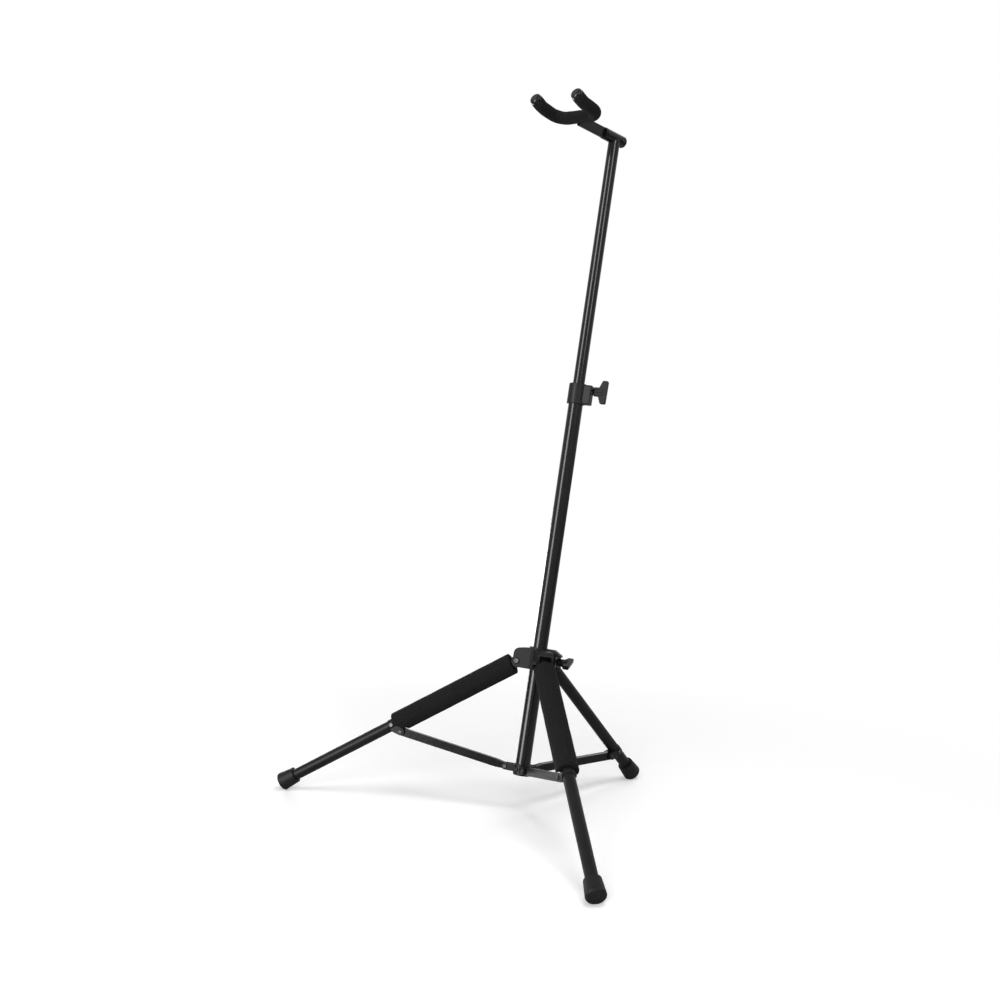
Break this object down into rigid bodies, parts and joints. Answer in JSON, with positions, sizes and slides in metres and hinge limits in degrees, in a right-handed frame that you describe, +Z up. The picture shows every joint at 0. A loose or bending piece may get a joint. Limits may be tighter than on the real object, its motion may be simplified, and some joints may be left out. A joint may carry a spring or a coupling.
{
  "type": "hanging guitar stand",
  "caption": "Folding tripod stand with a telescoping leaning mast, padded front legs and a padded swivelling yoke that hangs a guitar by its headstock.",
  "frame": {"origin": "on the floor, under the middle of the bounding box", "axes": "+Z up, front of the stand and the yoke towards -Y, +X to the right-hand leg"},
  "size_m": [0.7922, 0.5627, 1.2527],
  "materials": {
    "tube_paint": "gloss",
    "strut_paint": "satin",
    "moulded_black": "satin",
    "knob_black": "satin",
    "cap_black": "gloss",
    "foam_black": "matte",
    "foot_rubber": "matte",
    "bright_steel": "polished",
    "black_steel": "satin",
    "plain_steel": "satin",
    "insert_brass": "satin",
    "nylon_white": "matte"
  },
  "bodies": {
    "mast": {"lower_tube": "tube_paint", "base_hub": "moulded_black", "hub_rivets": "bright_steel", "hub_screw": "black_steel", "clutch_body": "moulded_black", "clutch_bush": "moulded_black", "clutch_insert": "insert_brass"},
    "guide": {"guide_bush": "nylon_white"},
    "upper_mast": {"upper_tube": "tube_paint", "head_tube": "tube_paint", "head_plug": "cap_black", "swivel_screw": "black_steel"},
    "yoke": {"yoke_arm": "tube_paint", "yoke_rod": "plain_steel", "yoke_foam": "foam_black", "yoke_caps": "cap_black"},
    "clutch_clamp": {"clutch_knob": "knob_black", "clutch_screw": "plain_steel", "clutch_screw_tip": "nylon_white"},
    "collar": {"leg_collar": "moulded_black", "collar_insert": "insert_brass", "leg_bolts": "bright_steel", "leg_nuts": "black_steel"},
    "collar_clamp": {"collar_knob": "knob_black", "collar_screw": "plain_steel", "collar_screw_tip": "nylon_white"},
    "left_leg": {"left_leg_tube": "tube_paint", "left_leg_plug": "nylon_white", "left_bracket": "moulded_black", "left_bracket_rivet": "bright_steel", "left_strut_pin": "black_steel", "left_foot": "foot_rubber", "left_leg_foam": "foam_black"},
    "left_strut_arm": {"left_strut": "strut_paint"},
    "right_leg": {"right_leg_tube": "tube_paint", "right_leg_plug": "nylon_white", "right_bracket": "moulded_black", "right_bracket_rivet": "bright_steel", "right_strut_pin": "black_steel", "right_foot": "foot_rubber", "right_leg_foam": "foam_black"},
    "right_strut_arm": {"right_strut": "strut_paint"},
    "rear_leg": {"rear_leg_tube": "tube_paint", "rear_leg_plug": "nylon_white", "rear_bracket": "moulded_black", "rear_bracket_rivet": "bright_steel", "rear_strut_pin": "black_steel", "rear_foot": "foot_rubber"},
    "rear_strut_arm": {"rear_strut": "strut_paint"}
  },
  "joints": [
    {"name": "height_slide", "type": "slide", "parent": "mast", "child": "guide", "axis": [0, 0.1865, 0.9825], "range_m": [-0.42, 0.07]},
    {"name": "mast_turn", "type": "hinge", "parent": "guide", "child": "upper_mast", "pos_m": [0, 0.00916, 0.281], "axis": [0, 0.1865, 0.9825], "continuous": true},
    {"name": "yoke_swivel", "type": "hinge", "parent": "upper_mast", "child": "yoke", "pos_m": [0, 0.18212, 1.19203], "axis": [0, 0.9825, -0.1865], "range_deg": [-33.3, 26.7]},
    {"name": "clutch_knob_turn", "type": "hinge", "parent": "mast", "child": "clutch_clamp", "pos_m": [0.02447, 0.10719, 0.7362], "axis": [0.9063, 0.4152, -0.0788], "range_deg": [0, 540]},
    {"name": "collar_slide", "type": "slide", "parent": "mast", "child": "collar", "axis": [0, 0.1865, 0.9825], "range_m": [0, 0.2675]},
    {"name": "collar_knob_turn", "type": "hinge", "parent": "collar", "child": "collar_clamp", "pos_m": [0.02771, 0.0217, 0.26131], "axis": [0.866, 0.4912, -0.0933], "range_deg": [0, 540]},
    {"name": "left_leg_fold", "type": "hinge", "parent": "collar", "child": "left_leg", "pos_m": [-0.03039, -0.01272, 0.25986], "axis": [0.5, -0.8508, 0.1615], "range_deg": [0, 48.7]},
    {"name": "left_strut_fold", "type": "hinge", "parent": "left_leg", "child": "left_strut_arm", "pos_m": [-0.19914, -0.13828, 0.12082], "axis": [-0.5, 0.8508, -0.1615], "range_deg": [0, 127.56]},
    {"name": "right_leg_fold", "type": "hinge", "parent": "collar", "child": "right_leg", "pos_m": [0.03039, -0.01272, 0.25986], "axis": [0.5, 0.8508, -0.1615], "range_deg": [0, 48.7]},
    {"name": "right_strut_fold", "type": "hinge", "parent": "right_leg", "child": "right_strut_arm", "pos_m": [0.19914, -0.13828, 0.12082], "axis": [-0.5, -0.8508, 0.1615], "range_deg": [0, 127.56]},
    {"name": "rear_leg_fold", "type": "hinge", "parent": "collar", "child": "rear_leg", "pos_m": [0, 0.039, 0.25004], "axis": [-1, 0, 0], "range_deg": [0, 48.7]},
    {"name": "rear_strut_fold", "type": "hinge", "parent": "rear_leg", "child": "rear_strut_arm", "pos_m": [0, 0.20059, 0.05648], "axis": [1, 0, 0], "range_deg": [0, 127.56]}
  ],
  "couplings": [
    {"joint": "left_leg_fold", "follows": "collar_slide", "rad_per_m": 3.1766},
    {"joint": "left_strut_fold", "follows": "collar_slide", "rad_per_m": 8.3223},
    {"joint": "right_leg_fold", "follows": "collar_slide", "rad_per_m": 3.1766},
    {"joint": "right_strut_fold", "follows": "collar_slide", "rad_per_m": 8.3223},
    {"joint": "rear_leg_fold", "follows": "collar_slide", "rad_per_m": 3.1766},
    {"joint": "rear_strut_fold", "follows": "collar_slide", "rad_per_m": 8.3223}
  ]
}
